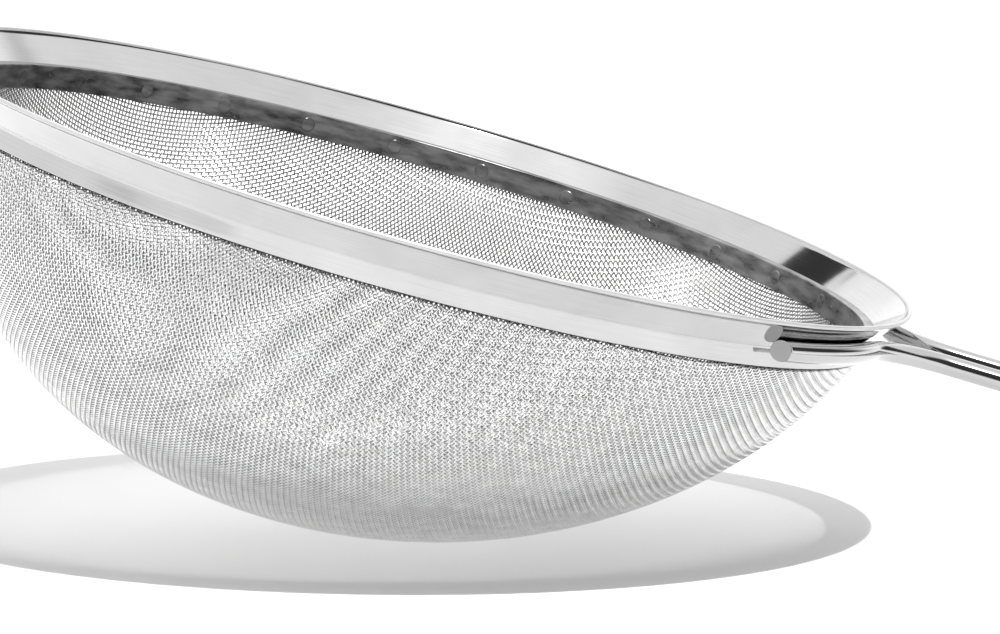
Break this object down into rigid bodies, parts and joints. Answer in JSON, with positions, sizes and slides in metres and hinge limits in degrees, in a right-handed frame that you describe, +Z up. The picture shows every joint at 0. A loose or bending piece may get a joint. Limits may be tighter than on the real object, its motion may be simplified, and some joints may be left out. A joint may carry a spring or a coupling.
{
  "type": "bowl sieve",
  "caption": "Handled bowl sieve: a deep fine-mesh bowl clamped between two steel hoops, with a sloping lip, a hairpin rod handle and a short rod rest.",
  "frame": {"origin": "on the table, at the middle of the box that the standing sieve fills", "axes": "+Z up from the table, +X from the rest toward the handle's end, the sieve leaning on its bowl and its handle"},
  "size_m": [0.3414, 0.2, 0.0992],
  "materials": {
    "rim_steel": "polished lip and finely brushed band",
    "hoop_steel": "finely brushed along the hoop",
    "wire_steel": "bright drawn wire",
    "rod_steel": "polished",
    "weld_steel": "cleaned weld"
  },
  "bodies": {
    "root": {"rim_hoop": "rim_steel", "inner_hoop": "hoop_steel", "cloth_warp": "wire_steel", "cloth_weft": "wire_steel", "handle_rod": "rod_steel", "front_rest": "rod_steel", "handle_weld_near": "weld_steel", "handle_weld_far": "weld_steel", "rest_weld_near": "weld_steel", "rest_weld_far": "weld_steel", "spot_welds": "weld_steel"}
  },
  "joints": []
}
